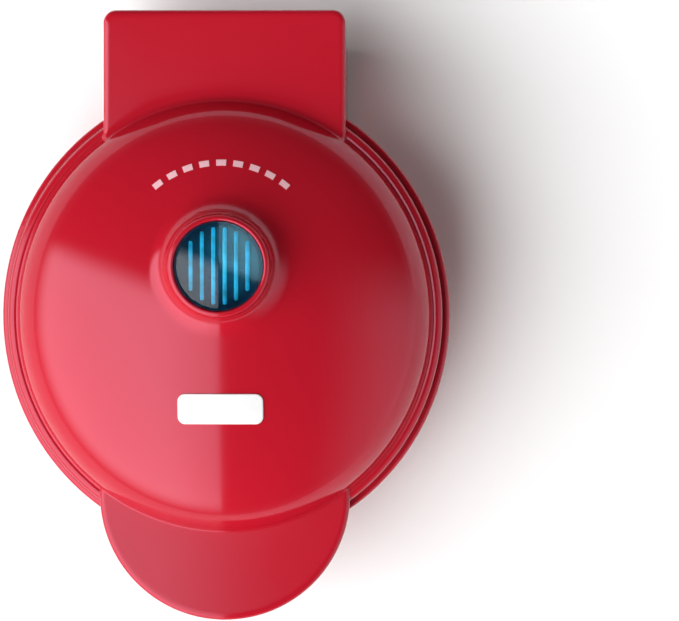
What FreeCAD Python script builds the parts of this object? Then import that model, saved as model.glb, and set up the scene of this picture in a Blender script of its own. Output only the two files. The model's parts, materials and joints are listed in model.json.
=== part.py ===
"""Small round waffle maker with a heart-shaped waffle, modelled closed.

Millimetres. The origin is on the table under the middle of the body, +X to the right,
+Y towards the hinge and +Z up. The body is a little longer than it is wide, so its round
shells are turned about the Z axis and then stretched along Y by `oval`. A place inside a
shape that is still to be stretched is divided by `oval` first.
"""
import FreeCAD, Part
import math
import os
from FreeCAD import Vector as V

# ---------------------------------------------------------------- driving dimensions
body_width = 120.0          # base rim, side to side
body_length = 125.0         # base rim, front to back
part_line = 34.2            # height of the base's rim
lid_gap = 0.3               # between the base's rim and the lid
foot_height = 3.0
wall = 2.2                  # red mouldings
run_gap = 0.3               # clearance between parts that move past each other
fit_gap = 0.2               # clearance between parts that sit in each other
face_gap = 0.05             # round a screw, pin or peg that stays still
spin_gap = 0.04             # hinge pin in its bush

# lid
rim_step = 2.0              # the base's rim shows this much outside the lid
shoulder_height = 5.7       # lid's bottom edge to the top of its rounded shoulder
shoulder_r = 1.7
shoulder_turn = math.radians(135)
valley_fillet = 0.7
dome_rise = 23.4            # shoulder's valley to where the dome would top out
tongue_r = 33.4
tongue_y = -47.9
tongue_height = 6.5         # lid's bottom edge to the tongue's flat top
tongue_edge = 1.4
box_half = 32.2             # hinge box, half its width
box_rear = 81.3
box_height = 7.4
box_corner = 3.4
box_edge = 1.3
box_crease = 2.6
box_front = 30.0            # how far the hinge box reaches in under the dome
lid_split_y = -20.0         # where the lid's front and rear halves are joined
lid_post_at = 28.0          # distance of the three posts under the dome from the middle
duct_margin = 0.5           # knuckle's wire duct stops this far short of the pins

# light
light_y = 13.5
collar_r = 13.3             # at the collar's top
collar_height = 7.898       # how far the collar stands above the dome's own top
collar_taper = 0.9          # how much wider the collar is where it meets the dome
collar_flare = 5.4
collar_edge = 1.0
lens_r = 11.6
lens_depth = 4.8            # collar's top to the ledge that the lens sits on
lens_thickness = 2.4
lens_crown = 1.0
lens_ledge = 1.2
rib_count = 6
rib_pitch = 2.9
rib_width = 1.1
rib_height = 1.3

# badge
badge_size = (22.4, 8.0)
badge_y = -24.0
badge_corner = 2.0
badge_thickness = 0.4
mark_r = 27.0               # row of plain dashes behind the light
mark_width = 1.6
mark_thickness = 0.15
mark_count = 9
mark_turn = math.radians(9.5)
mark_length = math.radians(5.5)

# hinge
hinge_y = 70.0
hinge_drop = 6.5            # lid's bottom edge down to the hinge axis
hinge_open = math.radians(100)
knuckle_half = 14.0
knuckle_gap = 0.4           # between the knuckle and each ear
pin_r = 3.0
pin_bore_r = 1.8
pin_in = 8.0                # length of pin inside the knuckle
pin_out = 8.0               # length of pin inside the ear
pin_head_r = 3.7
pin_head = 1.5
pin_hold = 0.01             # pin in its ear
bush_wall = 1.0
bush_flange = 1.0

# base
bowl_foot_r = 48.5          # outside the bowl where it meets the bottom
rim_round = 1.3
rim_straight = 4.0
hinge_house_front = 44.0
cover_thickness = 2.0
cover_r = 45.4
bowl_bulge = (2.6, -1.0)    # middle of the bowl's side off its chord, out and up
house_round = 1.5
house_slope = math.radians(5)   # back of the hinge housing leans this much past the open lid
house_foot = 1.0            # upright wall above the gland's flange
link_front = 8.0            # bowl and hinge housing open into each other from here
base_roof = 3.0             # plastic left between that opening and the liner
knuckle_room = 1.6          # free depth under the knuckle
ear_wall = 2.2              # round each pin, inside the housing
base_rib = (12.0, 2.0)      # rib from each base boss to the bowl's wall
base_screw_turns = (0, 180, 235, 305)
vent_count = 5
vent_pitch = 7.0
vent_width = 2.4
vent_length = 18.0
foot_round = 1.0
foot_barb = 0.5
foot_barb_neck = 0.6
foot_barb_height = 1.6
foot_r = 5.0
foot_peg_r = 1.8
front_foot = (31.0, -23.0)
rear_foot = (23.0, 62.0)

# cooking plates; depths run from the cooking face away from the waffle
plate_r = 52.0
plate_face_r = 50.3
plate_flange = 2.0
plate_recess = 1.2
plate_wall = 2.5
lobe = (19.5, 11.0)         # centre of the heart's right-hand lobe
lobe_r = 25.5
tip_y = -39.5
tip_r = 6.0
heart_depth = 7.0
heart_draft = 3.0
peg_base = 10.5
peg_tip = 8.3
peg_pitch = 16.0
peg_height = 4.6
peg_row_y = -28.0
plate_boss_r = 3.2
plate_boss_at = 17.5        # distance of the three bosses from the middle
plate_boss_turn = 90.0
peg_margin = 1.0            # least floor left between a peg and the heart's wall

# heating element
element_r = 3.0
element_ring_r = 30.0
element_leg_x = 8.0
element_bend_r = 6.0
element_leg_y = 44.0
clamp_in_r = 24.0
clamp_out_r = 37.0
clamp_thickness = 0.9

# pans behind the plates
pan_sheet = 0.8
pan_depth = 17.4
pan_floor_r = 41.0
pan_rim_gap = 0.4           # pan's rim is this much smaller than the plate's flange
pan_side = ((50.6, 7.0), (49.6, 10.0), (47.6, 13.2))    # (radius, depth) down its side
pan_slot_x = (-5.5, 4.5)    # slot for each element leg, from its middle
pan_slot_depth = (3.0, 16.4)
pan_slot_length = 12.0
wire_cover = 1.2           # lid left above the wires where they leave the hinge box

# liners round the plates
liner_thickness = 2.2

# screws
screw_r = 1.5
screw_head_r = 2.8
screw_head = 1.4
screw_length = 8.0
lid_screw_length = 4.0
screw_boss_r = 3.4
base_boss = 9.0

# cord gland
gland_z = 10.2
gland_r = 4.2
gland_bore_r = 3.0
gland_flange_r = 5.4
gland_flange = 1.6
gland_depth = 6.0
gland_barb = 0.5            # how far the gland's inner lip stands out
gland_barb_width = 1.6

# electrics
wire_r = 1.1
wire_bend = 1.2             # upper wires; the lower ones bend a little wider
lower_wire_bend = 1.5
wire_past_pin = 2.2         # from a pin's end to the wire that turns beside it
wire_height = 9.0           # where the lower wires enter the terminal block
wire_turn_y = 60.0
wire_turn_z = 20.0
upper_wire_y = 53.0         # where the upper wires start down to the element
terminal_half = 12.0
terminal_y = (52.0, 60.0)
terminal_height = 8.0
terminal_pitch = 8.0
terminal_well_r = 2.2
terminal_gap = 1.2
thermostat_r = 8.0
thermostat_height = 4.2
thermostat_cap = (6.0, 1.4)
thermostat_tab = (4.8, 0.8, 0.8)
thermostat_tab_x = 7.5
fuse_y = -13.5
fuse_r = 1.9
fuse_length = 11.0
fuse_lead_r = 0.5
fuse_lead_length = 21.0
fuse_drop = 2.2
holder_wall = 1.2
holder_floor = 1.4
holder_depth = 4.0          # holder's floor below the inside of the dome
holder_gap = 0.6            # between the holder and the window's ribs
lamp_r = 2.0
lamp_length = 6.4
lamp_round = 1.6
resistor_r = 1.1
resistor_length = 6.4
resistor_lead_r = 0.35
resistor_lead_length = 10.4
resistor_y = 4.5            # behind the lamp
resistor_drop = 1.8         # below the lamp holder

# ---------------------------------------------------------------- derived dimensions
oval = body_length / body_width
base_r = body_width / 2
lid_r = base_r - rim_step
lid_z = part_line + lid_gap
middle_z = part_line + lid_gap / 2
shoulder_z = lid_z + shoulder_height
shoulder_c = shoulder_z - shoulder_r
dome_r = lid_r - shoulder_r + shoulder_r * math.cos(shoulder_turn)
dome_z = shoulder_c + shoulder_r * math.sin(shoulder_turn)
total_height = dome_z + dome_rise + collar_height
tongue_top = lid_z + tongue_height
box_top = lid_z + box_height
ledge_z = total_height - lens_depth
lens_bore_r = lens_r + fit_gap
light_bore_r = lens_r - lens_ledge
hinge_z = lid_z - hinge_drop
ear_r = hinge_drop - run_gap
knuckle_r = ear_r - run_gap
ear_x = knuckle_half + knuckle_gap
pin_inner_x = knuckle_half - pin_in
pin_outer_x = ear_x + pin_out
house_half = box_half - run_gap
floor_z = foot_height + wall
element_depth = heart_depth + plate_wall + element_r
clamp_depth = element_depth + element_r
liner_hole_r = plate_r + run_gap
lip_r = plate_face_r + run_gap

Z = V(0, 0, 1)


# ---------------------------------------------------------------- helpers
def line(a, b):
    """Straight edge in the XZ plane."""
    return Part.makeLine(V(a[0], 0, a[1]), V(b[0], 0, b[1]))


def path(*points):
    """Edges in the XZ plane through the points."""
    return [line(a, b) for a, b in zip(points, points[1:])]


def arc(cx, cz, r, start, end):
    """Arc in the XZ plane, angles in radians from +X towards +Z."""
    turns = (start, (start + end) / 2, end)
    return Part.Arc(*[V(cx + r * math.cos(a), 0, cz + r * math.sin(a)) for a in turns]).toShape()


def turned(edges):
    """Solid of revolution about Z of a closed outline in the XZ plane."""
    return Part.Face(Part.Wire(Part.__sortEdges__(edges))).revolve(V(0, 0, 0), Z, 360)


def ring(r_out, r_in, z0, z1):
    solid = Part.makeCylinder(r_out, z1 - z0, V(0, 0, z0))
    if r_in:
        solid = solid.cut(Part.makeCylinder(r_in, z1 - z0, V(0, 0, z0)))
    return solid


def rod(r, length, at, along=Z):
    return Part.makeCylinder(r, length, V(*at), along)


def block(x, y, z):
    """Box from three (low, high) pairs."""
    return Part.makeBox(x[1] - x[0], y[1] - y[0], z[1] - z[0], V(x[0], y[0], z[0]))


def extruded(edges, z0, z1):
    """Prism of a closed outline drawn in the XY plane."""
    solid = Part.Face(Part.Wire(Part.__sortEdges__(edges))).extrude(V(0, 0, z1 - z0))
    solid.translate(V(0, 0, z0))
    return solid


def stretched(solid):
    """The solid made longer along Y by the body's oval."""
    scale = FreeCAD.Matrix()
    scale.scale(1, oval, 1)
    return solid.transformGeometry(scale)


def rounded(solid, radius, chosen):
    """The solid with a fillet on each edge that `chosen` picks."""
    return solid.makeFillet(radius, [e for e in solid.Edges if chosen(e)])


def level(edge, z):
    """Whether the edge lies flat at height z."""
    return abs(edge.BoundBox.ZMin - z) < 0.01 and abs(edge.BoundBox.ZMax - z) < 0.01


def flipped(solid):
    """The same piece on the other side of the waffle, mirrored in the parting plane."""
    return solid.mirror(V(0, 0, middle_z), Z)


def turned_copies(solid, count, start):
    """Copies about Z, evenly spaced from the angle `start` in degrees."""
    copies = []
    for i in range(count):
        copy = solid.copy()
        copy.rotate(V(0, 0, 0), Z, start + 360 * i / count)
        copies.append(copy)
    return copies


def screw(x, y, z, length):
    """Upright round-headed screw with a cross slot; z is where its head sits."""
    body = rod(screw_head_r, screw_head, (0, 0, -screw_head))
    body = rounded(body, screw_head * 0.6, lambda e: level(e, -screw_head))
    body = body.fuse(rod(screw_r, length, (0, 0, 0)))
    slot_w, slot_l, slot_d = 0.7, 3.2, 0.7
    for a, b in ((slot_w, slot_l), (slot_l, slot_w)):
        body = body.cut(block((-a / 2, a / 2), (-b / 2, b / 2), (-screw_head - 1, -screw_head + slot_d)))
    body.translate(V(x, y, z))
    return body


def screw_hole(x, y, z, length):
    """Clear hole for a screw's shank, upwards from height z."""
    return rod(screw_r + face_gap, length, (x, y, z))


# ---------------------------------------------------------------- lid
def lid_round(inset):
    """Dome and rim of the lid, moved inwards by `inset`, before stretching."""
    r = dome_r - inset
    top = dome_z + dome_rise - inset
    dome = Part.Ellipse(V(r, 0, dome_z), V(0, 0, top), V(0, 0, dome_z)).toShape(0, math.pi / 2)
    if not inset:
        edges = path((0, lid_z), (lid_r, lid_z), (lid_r, shoulder_c))
        edges += [arc(lid_r - shoulder_r, shoulder_c, shoulder_r, 0, shoulder_turn)]
        return turned(edges + [dome, line((0, top), (0, lid_z))])
    below = lid_z - wall
    step = shoulder_z - inset
    edges = path((0, top), (0, below), (lid_r - inset, below), (lid_r - inset, step), (r, step), (r, dome_z))
    return turned(edges + [dome])


def front_arc(r, r_y, y):
    """Front half of an ellipse about (0, y), with half axes r across and r_y along Y."""
    side, nose = V(r, y, 0), V(0, y - r_y, 0)
    if r_y > r:
        return Part.Ellipse(nose, side, V(0, y, 0)).toShape(-math.pi / 2, math.pi / 2)
    return Part.Ellipse(side, nose, V(0, y, 0)).toShape(0, math.pi)


def tongue_form(inset, z0, z1):
    """Tongue that the lid is lifted by, before stretching."""
    r = tongue_r - inset
    y = tongue_y / oval
    back = tongue_y / oval + 18
    nose = front_arc(r, r / oval, y)
    corners = [V(-r, y, 0), V(-r, back, 0), V(r, back, 0), V(r, y, 0)]
    return extruded([nose] + [Part.makeLine(a, b) for a, b in zip(corners, corners[1:])], z0, z1)


def box_form(inset, z0, z1, corner):
    """Box over the hinge, before stretching."""
    front = box_front / oval
    half = box_half - inset
    form = block((-half, half), (front, (box_rear - inset) / oval), (z0, z1))
    return rounded(form, corner, lambda e: e.BoundBox.ZLength > 1 and e.CenterOfMass.y > front + 1)


def collared(form):
    """The dome with its flared collar round the light."""
    y = light_y / oval
    low = dome_z + dome_rise / 2
    form = form.fuse(Part.makeCone(collar_r + collar_taper, collar_r, total_height - low, V(0, y, low)))
    form = rounded(form, collar_flare, lambda e: 2 * collar_r - 1 < e.BoundBox.XLength < 2 * collar_r + 6
                   and e.BoundBox.ZMax < total_height - 1 and abs(e.CenterOfMass.y - y) < 2)
    return rounded(form, collar_edge, lambda e: level(e, total_height))


def lid_form():
    """Outside of the lid: its front with the tongue and its rear with the hinge box, joined."""
    nose_y = tongue_y / oval + 17
    tongue = tongue_form(0, lid_z, tongue_top)
    tongue = rounded(tongue, tongue_edge, lambda e: level(e, tongue_top) and e.CenterOfMass.y < nose_y)
    box = box_form(0, lid_z, box_top, box_corner)
    box = rounded(box, box_edge, lambda e: level(e, box_top) and e.CenterOfMass.y > box_front / oval + 1)
    rear = rounded(collared(lid_round(0)).fuse(box), box_crease, lambda e: level(e, box_top)
                   and e.BoundBox.XLength > box_half and 0 < e.CenterOfMass.y < box_rear / oval - 10)
    rear = rounded(rear, valley_fillet, lambda e: level(e, dome_z))
    front = rounded(lid_round(0), valley_fillet, lambda e: level(e, dome_z)).fuse(tongue)
    far = 2 * body_length
    rear = rear.common(block((-far, far), (lid_split_y, far), (0, far)))
    front = front.common(block((-far, far), (-far, lid_split_y), (0, far)))
    return rear.fuse(front).removeSplitter()


def lid_screw_spots():
    """Screws that hold the liner: two in the tongue and two in the hinge box."""
    return [(-20, -62), (20, -62), (-25, 74), (25, 74)]


def make_lid():
    outside = lid_form()
    inside = lid_round(wall)
    inside = inside.fuse([tongue_form(wall, lid_z - wall, tongue_top - wall),
                          box_form(wall, lid_z - wall, box_top - wall, box_corner - wall / 2)])
    lid = stretched(outside.cut(inside))
    lid = lid.cut([rod(lens_bore_r, lens_depth + 1, (0, light_y, ledge_z)),
                   rod(light_bore_r, total_height - lid_z, (0, light_y, lid_z))])
    top = box_top - wall / 2
    half = (-knuckle_half, knuckle_half)
    knuckle = block(half, (hinge_y - knuckle_r, hinge_y + knuckle_r), (hinge_z, top))
    knuckle = knuckle.fuse(rod(knuckle_r, 2 * knuckle_half, (-knuckle_half, hinge_y, hinge_z), V(1, 0, 0)))
    bosses = []
    liner_top = lid_z + liner_thickness + face_gap
    for x, y in lid_screw_spots():
        roof = (tongue_top if y < 0 else box_top) - wall / 2
        bosses.append(rod(screw_boss_r, roof - liner_top, (x, y, liner_top)))
    post_z = 2 * middle_z - (part_line - pan_depth) + face_gap
    dome_in = stretched(lid_round(wall / 2))
    post = rod(screw_boss_r, total_height - post_z, (lid_post_at, 0, post_z))
    posts = [p.common(dome_in) for p in turned_copies(post, 3, plate_boss_turn)]
    lid = lid.fuse([knuckle] + bosses + posts)
    bush_r = pin_r + spin_gap + bush_wall + face_gap
    cuts = [rod(bush_r, 2 * knuckle_half, (-knuckle_half, hinge_y, hinge_z), V(1, 0, 0))]
    duct = pin_inner_x - duct_margin
    cuts.append(block((-duct, duct), (hinge_y - pin_r, hinge_y + pin_r), (hinge_z, box_top - wire_cover)))
    cuts.append(block((-duct, duct), (lid_r * oval - 10, hinge_y), (liner_top + 1, box_top - wire_cover)))
    cuts += [screw_hole(x, y, liner_top, lid_screw_length - 0.6) for x, y in lid_screw_spots()]
    return lid.cut(cuts).removeSplitter()


def make_lens():
    """Window: crowned top, flat rim on the ledge, ribs underneath."""
    z = ledge_z + face_gap
    body = rod(lens_r, lens_thickness, (0, light_y, z))
    crown_r = (lens_r ** 2 + lens_crown ** 2) / (2 * lens_crown)
    top = z + lens_thickness
    ball = Part.makeSphere(crown_r, V(0, light_y, top + lens_crown - crown_r))
    body = body.fuse(ball.common(rod(lens_r, lens_crown + 1, (0, light_y, top))))
    inner_r = light_bore_r - fit_gap
    for i in range(rib_count):
        x = (i - (rib_count - 1) / 2) * rib_pitch
        half = math.sqrt(inner_r ** 2 - (abs(x) + rib_width / 2) ** 2)
        rib = block((x - rib_width / 2, x + rib_width / 2), (light_y - half, light_y + half), (z - rib_height, z))
        body = body.fuse(rib)
    return body.removeSplitter()


def lid_skin(thickness):
    """Dome grown outwards by a thickness."""
    r = dome_r + thickness
    top = dome_z + dome_rise + thickness
    dome = Part.Ellipse(V(r, 0, dome_z), V(0, 0, top), V(0, 0, dome_z)).toShape(0, math.pi / 2)
    return stretched(turned([dome] + path((0, top), (0, dome_z), (r, dome_z))))


def make_badge():
    w, d = badge_size
    prism = block((-w / 2, w / 2), (badge_y - d / 2, badge_y + d / 2), (dome_z, total_height))
    prism = rounded(prism, badge_corner, lambda e: e.BoundBox.ZLength > 1)
    return prism.common(lid_skin(badge_thickness)).cut(lid_skin(0))


def make_marks():
    """Row of plain dashes printed in an arc behind the light."""
    skin = lid_skin(mark_thickness)
    dome = lid_skin(0)
    marks = []
    for i in range(mark_count):
        a = math.pi / 2 + (i - (mark_count - 1) / 2) * mark_turn
        edges = []
        for r, side in ((mark_r - mark_width / 2, 1), (mark_r + mark_width / 2, -1)):
            turns = [a - side * mark_length / 2, a, a + side * mark_length / 2]
            edges.append([V(r * math.cos(t), light_y + r * math.sin(t), 0) for t in turns])
        inner, outer = edges
        outline = [Part.Arc(*inner).toShape(), Part.Arc(*outer).toShape(),
                   Part.makeLine(inner[2], outer[0]), Part.makeLine(outer[2], inner[0])]
        marks.append(extruded(outline, dome_z, total_height).common(skin).cut(dome))
    return marks


# ---------------------------------------------------------------- liners and pans
def liner_round(outer_r, thickness):
    """Ring round the lower plate, with the lip that holds the plate's flange down."""
    z0 = part_line - thickness
    lip_z = part_line - plate_recess + face_gap
    return turned(path((outer_r, z0), (outer_r, part_line), (lip_r, part_line), (lip_r, lip_z),
                       (liner_hole_r, lip_z), (liner_hole_r, z0), (outer_r, z0)))


def make_lid_liner():
    ring_part = flipped(liner_round(lid_r - wall - fit_gap, liner_thickness))
    z0, z1 = lid_z, lid_z + liner_thickness
    inset = wall + fit_gap
    hole = ring(lid_r - wall - 1, 0, z0 - 1, z1 + 1)
    flat = tongue_form(inset, z0, z1).fuse(box_form(inset, z0, z1, box_corner - wall / 2)).cut(hole)
    liner = stretched(ring_part.fuse(flat))
    half = knuckle_half + fit_gap
    deep = knuckle_r + fit_gap
    cuts = [block((-half, half), (hinge_y - deep, hinge_y + deep), (z0 - 1, z1 + 1))]
    for x, y in lid_screw_spots():
        cuts.append(screw_hole(x, y, z0, liner_thickness))
        cuts.append(rod(screw_head_r + face_gap, screw_head, (x, y, z0)))
    return liner.cut(cuts).removeSplitter()


def make_pan():
    """Dished sheet under the lower plate that keeps its heat in."""
    def outline(inset):
        rim = ((plate_r - pan_rim_gap, plate_recess + plate_flange),) + pan_side
        points = [(r - inset, part_line - d) for r, d in rim]
        floor = part_line - pan_depth + inset
        return points + [(pan_floor_r - inset / 2, floor), (0, floor)]
    outer = outline(0)
    inner = outline(pan_sheet)
    inner[0] = (inner[0][0], outer[0][1])
    pan = turned(path(*(outer + list(reversed(inner)) + [outer[0]])))
    pan = stretched(pan)
    hole = screw_hole(plate_boss_at, 0, part_line - pan_depth - pan_sheet, 3 * pan_sheet)
    spots = turned_copies(hole, 3, plate_boss_turn)
    leg = element_leg_y - 1
    high, low = (part_line - d for d in pan_slot_depth)
    slots = [block((x + pan_slot_x[0], x + pan_slot_x[1]), (leg, leg + pan_slot_length), (low, high))
             for x in (1 - element_leg_x, element_leg_x)]
    return pan.cut(spots + slots)


# ---------------------------------------------------------------- cooking plates
def heart(offset):
    """Heart outline moved outwards by `offset`, tip to the front."""
    (cx, cy), big, tip = lobe, lobe_r + offset, tip_r + offset
    along = V(cx, cy - tip_y, 0)
    lean = (lobe_r - tip_r) / along.Length
    along.normalize()
    across = V(along.y, -along.x, 0)
    normal = along * lean + across * math.sqrt(1 - lean ** 2)
    notch = V(0, cy + math.sqrt(big ** 2 - cx ** 2), 0)
    side = V(cx, cy, 0) + normal * big
    low = V(0, tip_y, 0) + normal * tip
    mid = V(cx + big * math.cos(0.9), cy + big * math.sin(0.9), 0)

    def left(p):
        return V(-p.x, p.y, 0)
    return [Part.Arc(notch, mid, side).toShape(), Part.makeLine(side, low),
            Part.Arc(low, V(0, tip_y - tip, 0), left(low)).toShape(),
            Part.makeLine(left(low), left(side)), Part.Arc(left(side), left(mid), notch).toShape()]


def heart_block(offset_top, z_top, offset_low, z_low):
    """Heart-shaped block with drafted sides."""
    wires = []
    for offset, z in ((offset_low, z_low), (offset_top, z_top)):
        wire = Part.Wire(heart(offset))
        wire.translate(V(0, 0, z))
        wires.append(wire)
    return Part.makeLoft(wires, True, True)


def peg_spots():
    """Grid places whose whole peg stands on the heart's floor."""
    floor = Part.Face(Part.Wire(heart(-heart_draft - peg_margin)))
    spots = []
    for row in range(6):
        for column in range(6):
            x = (column - 2.5) * peg_pitch
            y = peg_row_y + row * peg_pitch
            corners = [V(x + sx * peg_base / 2, y + sy * peg_base / 2, 0) for sx in (-1, 1) for sy in (-1, 1)]
            if all(floor.isInside(c, 0.01, True) for c in corners):
                spots.append((x, y))
    return spots


def make_plate():
    """Lower cooking plate: flange, heart-shaped well with square pegs, bosses beneath."""
    face = part_line
    floor = face - heart_depth
    under = floor - plate_wall
    flange_z = face - plate_recess - plate_flange
    plate = stretched(ring(plate_face_r, 0, flange_z, face).fuse(ring(plate_r, 0, flange_z, face - plate_recess)))
    well = heart_block(plate_wall, flange_z + 0.5, plate_wall - heart_draft, under)
    bosses = turned_copies(rod(plate_boss_r, under + 1 - (face - pan_depth + pan_sheet + face_gap),
                               (plate_boss_at, 0, face - pan_depth + pan_sheet + face_gap)), 3, plate_boss_turn)
    plate = plate.fuse([well] + bosses)
    plate = plate.cut(heart_block(0, face, -heart_draft, floor))
    slope = (peg_base - peg_tip) / 2
    pegs = []
    for x, y in peg_spots():
        half, tip = peg_base / 2, peg_base / 2 - slope
        pegs.append(Part.makeWedge(-half, 0, -half, -tip, -tip, half, peg_height + 0.5, half, tip, tip))
        pegs[-1].rotate(V(0, 0, 0), V(1, 0, 0), 90)
        pegs[-1].translate(V(x, y, floor - 0.5))
    plate = plate.fuse(pegs)
    holes = turned_copies(screw_hole(plate_boss_at, 0, face - pan_depth, screw_length), 3,
                          plate_boss_turn)
    return plate.cut(holes).removeSplitter()


def make_element():
    """Sheathed heating element: an open ring whose ends run back towards the hinge."""
    z = part_line - element_depth
    bend_x = element_leg_x + element_bend_r
    bend_y = math.sqrt((element_ring_r + element_bend_r) ** 2 - bend_x ** 2)
    share = element_ring_r / (element_ring_r + element_bend_r)
    join = V(bend_x * share, bend_y * share, z)
    leg_low = V(element_leg_x, bend_y, z)
    towards = (V(join.x, join.y, z) - V(bend_x, bend_y, z)) + (leg_low - V(bend_x, bend_y, z))
    towards.normalize()
    bend_mid = V(bend_x, bend_y, z) + towards * element_bend_r

    def left(p):
        return V(-p.x, p.y, p.z)
    end = V(element_leg_x, element_leg_y, z)
    spine = [Part.makeLine(end, leg_low), Part.Arc(leg_low, bend_mid, join).toShape(),
             Part.Arc(join, V(0, -element_ring_r, z), left(join)).toShape(),
             Part.Arc(left(join), left(bend_mid), left(leg_low)).toShape(),
             Part.makeLine(left(leg_low), left(end))]
    section = Part.Wire(Part.makeCircle(element_r - face_gap, end, V(0, 1, 0)))
    return Part.Wire(spine).makePipeShell([section], True, False)


def make_element_clamp():
    z1 = part_line - clamp_depth - face_gap
    return ring(clamp_out_r, clamp_in_r, z1 - clamp_thickness, z1)


def plate_screws():
    z = part_line - pan_depth - face_gap
    screws = []
    for i in range(3):
        a = math.radians(plate_boss_turn + 120 * i)
        screws.append(screw(plate_boss_at * math.cos(a), plate_boss_at * math.sin(a), z, screw_length))
    return screws


# ---------------------------------------------------------------- base
def bowl_round(inset):
    """Base's bowl moved inwards by `inset`, before stretching."""
    r = base_r - inset
    top = part_line if not inset else part_line + wall
    low = foot_height if not inset else foot_height - wall
    turn_z = part_line - rim_round - rim_straight
    foot = bowl_foot_r - inset
    mid = ((r + foot) / 2 + bowl_bulge[0], (turn_z + foot_height) / 2 + bowl_bulge[1])
    side = Part.Arc(V(r, 0, turn_z), V(mid[0], 0, mid[1]), V(foot, 0, foot_height)).toShape()
    edges = path((foot, foot_height), (foot, low), (0, low), (0, top)) if inset else \
        path((foot, foot_height), (0, foot_height), (0, top))
    if inset:
        return turned(edges + path((0, top), (r, top), (r, turn_z)) + [side])
    rim = arc(r - rim_round, top - rim_round, rim_round, 0, math.pi / 2)
    return turned(edges + path((0, top), (r - rim_round, top)) + [rim, side]
                  + path((r, top - rim_round), (r, turn_z)))


def house_form(inset):
    """Hinge housing moved inwards by `inset`: upright front, round the axis, then sloping down."""
    r = ear_r - inset
    lean = hinge_open + house_slope
    low = foot_height + inset
    touch = V(0, hinge_y + r * math.sin(lean), hinge_z + r * math.cos(lean))
    bend_z = gland_z + gland_flange_r + house_foot
    bend = V(0, touch.y + (touch.z - bend_z) * math.cos(lean) / math.sin(lean), bend_z)
    top = hinge_z + r
    half = lean / 2
    crest = V(0, hinge_y + r * math.sin(half), hinge_z + r * math.cos(half))
    corners = [touch, bend, V(0, bend.y, low), V(0, hinge_house_front, low), V(0, hinge_house_front, top),
               V(0, hinge_y, top)]
    edges = [Part.makeLine(a, b) for a, b in zip(corners, corners[1:])]
    edges.append(Part.Arc(V(0, hinge_y, top), crest, touch).toShape())
    width = 2 * (house_half - inset)
    form = Part.Face(Part.Wire(edges)).extrude(V(width, 0, 0))
    form.translate(V(-width / 2, 0, 0))
    return form, bend.y


def slot(margin):
    """Room between the ears for the lid's knuckle, grown by a margin."""
    x = ear_x + margin
    return block((-x, x), (hinge_y - ear_r - margin, hinge_y + 30),
                 (hinge_z - ear_r - knuckle_room - margin, part_line + 10))


def base_screw_spots():
    """Screws that hold the bottom cover."""
    r = cover_r - 2.2 * screw_r
    return [(r * math.cos(math.radians(a)), r * oval * math.sin(math.radians(a))) for a in base_screw_turns]


def make_base():
    house, rear_y = house_form(0)
    house = rounded(house, house_round, lambda e: e.BoundBox.ZLength > 5 and abs(e.BoundBox.XLength) < 0.01
                    and e.CenterOfMass.y > hinge_y)
    room, _ = house_form(wall)
    room = room.cut(slot(wall))
    bowl = stretched(bowl_round(0))
    hollow = stretched(bowl_round(wall))
    ceiling = part_line - liner_thickness - base_roof
    base = bowl.fuse(house).cut([hollow, room, slot(0)])
    link = block((-house_half + wall, house_half - wall),
                 (hinge_house_front - link_front, hinge_y - ear_r - 2 * wall), (floor_z + base_roof, ceiling))
    base = base.cut(link)
    parts = []
    bowl_mid = stretched(bowl_round(wall / 2))
    boss_z = foot_height + cover_thickness + face_gap
    for x, y in base_screw_spots():
        rib = block((0, base_rib[0]), (-base_rib[1] / 2, base_rib[1] / 2), (boss_z, boss_z + base_boss))
        rib.rotate(V(0, 0, 0), Z, math.degrees(math.atan2(y, x)))
        rib.translate(V(x, y, 0))
        boss = rod(screw_boss_r, base_boss, (x, y, boss_z)).fuse(rib)
        parts.append(boss.common(bowl_mid))
    for side in (-1, 1):
        x = ear_x if side > 0 else -pin_outer_x
        parts.append(rod(pin_r + ear_wall, pin_out, (x, hinge_y, hinge_z), V(1, 0, 0)))
    base = base.fuse(parts)
    cuts = [stretched(ring(cover_r + fit_gap, 0, foot_height - 1, foot_height + cover_thickness + fit_gap / 2))]
    cuts += [screw_hole(x, y, boss_z, screw_length) for x, y in base_screw_spots()]
    cuts.append(rod(pin_r + pin_hold, 2 * pin_outer_x, (-pin_outer_x, hinge_y, hinge_z), V(1, 0, 0)))
    cuts.append(rod(gland_r + face_gap, 2 * wall + 2, (0, rear_y - wall - 1, gland_z), V(0, 1, 0)))
    for side in (-1, 1):
        cuts.append(rod(foot_peg_r + face_gap, 2 * wall, (side * rear_foot[0], rear_foot[1], foot_height - 1)))
    return base.cut(cuts).removeSplitter(), rear_y


def make_base_liner():
    return stretched(liner_round(base_r - wall - fit_gap, liner_thickness))


def make_cover():
    cover = stretched(ring(cover_r, 0, foot_height, foot_height + cover_thickness))
    cuts = []
    for x, y in base_screw_spots():
        cuts.append(screw_hole(x, y, foot_height, cover_thickness))
        cuts.append(rod(screw_head_r + face_gap, screw_head, (x, y, foot_height)))
    for side in (-1, 1):
        cuts.append(rod(foot_peg_r + face_gap, cover_thickness, (side * front_foot[0], front_foot[1], foot_height)))
    for i in range(vent_count):
        x = (i - (vent_count - 1) / 2) * vent_pitch
        cuts.append(block((x - vent_width / 2, x + vent_width / 2), (-vent_length / 2, vent_length / 2),
                          (foot_height - 1, foot_height + cover_thickness + 1)))
    return cover.cut(cuts)


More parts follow.
